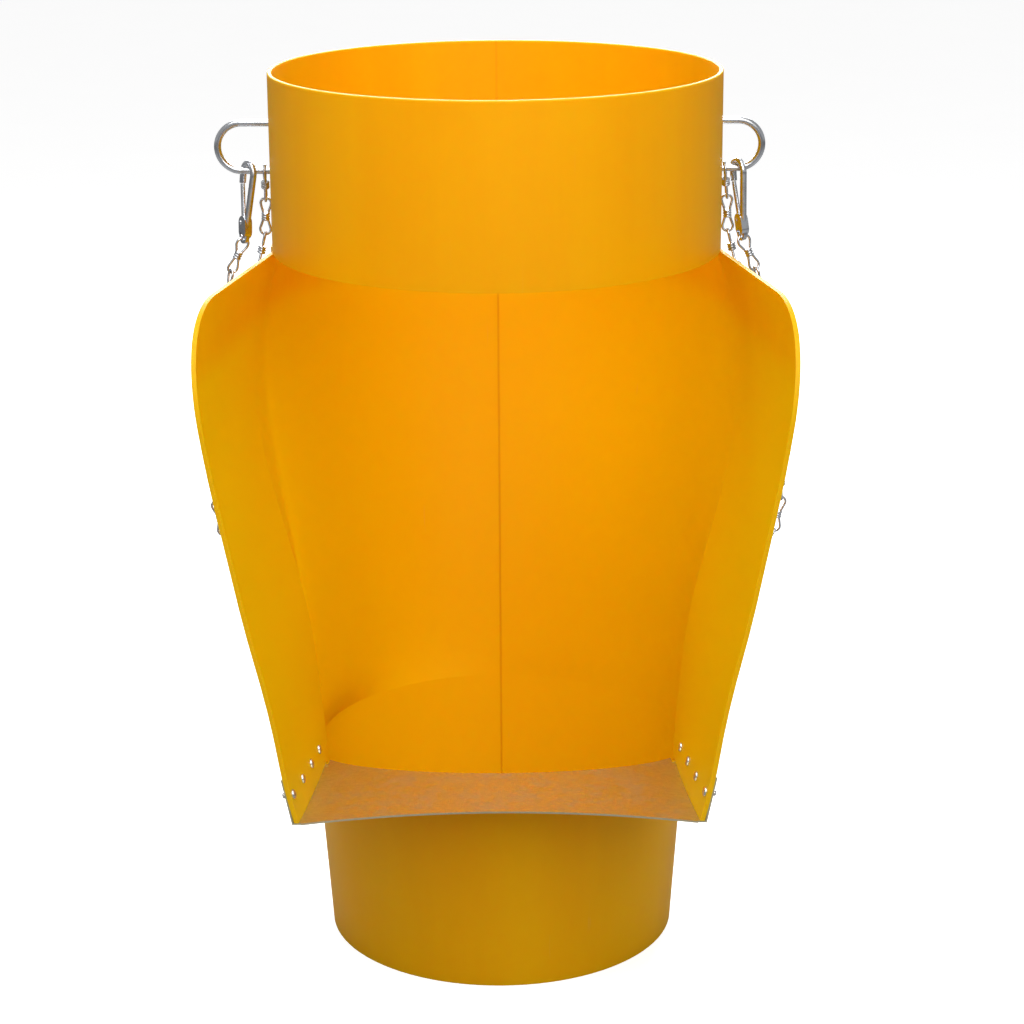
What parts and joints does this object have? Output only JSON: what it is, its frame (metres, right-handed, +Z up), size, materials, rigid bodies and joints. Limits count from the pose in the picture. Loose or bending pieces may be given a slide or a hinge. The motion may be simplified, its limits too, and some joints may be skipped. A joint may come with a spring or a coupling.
{
  "type": "side-entry rubble chute hopper section",
  "caption": "Side-entry hopper section of a hanging rubble chute: yellow sheet cone with opened wings, steel lip plate, U-bars, snap hooks and looped chains.",
  "frame": {"origin": "centre of the outlet's bottom edge, on the axis of the round sheet", "axes": "+Z up along the chute, the open front faces -Y, +X to the right as seen from the front"},
  "size_m": [0.6791, 0.6239, 1.03],
  "materials": {
    "yellow_sheet": "smooth rolled polyethylene sheet with a soft sheen",
    "galvanised_sheet": "hot-dip galvanised sheet, mottled and slightly worn",
    "zinc_plate": "bright zinc plate",
    "rivet_alloy": "plain blind rivets",
    "spring_steel": "drawn spring wire"
  },
  "bodies": {
    "chute": {"body_shell": "yellow_sheet", "top_collar": "yellow_sheet", "lip_plate": "galvanised_sheet", "left_lip_rivets": "rivet_alloy", "left_u_bar": "zinc_plate", "left_backing_plate": "zinc_plate", "left_washers": "zinc_plate", "left_nuts": "zinc_plate", "right_lip_rivets": "rivet_alloy", "right_u_bar": "zinc_plate", "right_backing_plate": "zinc_plate", "right_washers": "zinc_plate", "right_nuts": "zinc_plate"},
    "left_loop": {"left_hook_body": "zinc_plate", "left_gate_pin": "zinc_plate", "left_gate_spring": "spring_steel", "left_chain": "zinc_plate"},
    "left_gate": {"left_hook_gate": "zinc_plate"},
    "right_loop": {"right_hook_body": "zinc_plate", "right_gate_pin": "zinc_plate", "right_gate_spring": "spring_steel", "right_chain": "zinc_plate"},
    "right_gate": {"right_hook_gate": "zinc_plate"}
  },
  "joints": [
    {"name": "left_loop_swing", "type": "hinge", "parent": "chute", "child": "left_loop", "pos_m": [-0.28, 0, 0.916], "axis": [1, 0, 0], "range_deg": [-2, 50]},
    {"name": "left_gate_turn", "type": "hinge", "parent": "left_loop", "child": "left_gate", "pos_m": [-0.28765, 0.00294, 0.85646], "axis": [0.8348, 0.5446, -0.0804], "range_deg": [0, 20], "stiffness_Nm_per_rad": 0.05, "springref_deg": -5.73},
    {"name": "right_loop_swing", "type": "hinge", "parent": "chute", "child": "right_loop", "pos_m": [0.2737, 0, 0.916], "axis": [1, 0, 0], "range_deg": [-2, 50]},
    {"name": "right_gate_turn", "type": "hinge", "parent": "right_loop", "child": "right_gate", "pos_m": [0.27699, 0.0032, 0.85607], "axis": [0.9107, 0.4067, 0.0717], "range_deg": [0, 20], "stiffness_Nm_per_rad": 0.05, "springref_deg": -5.73}
  ]
}
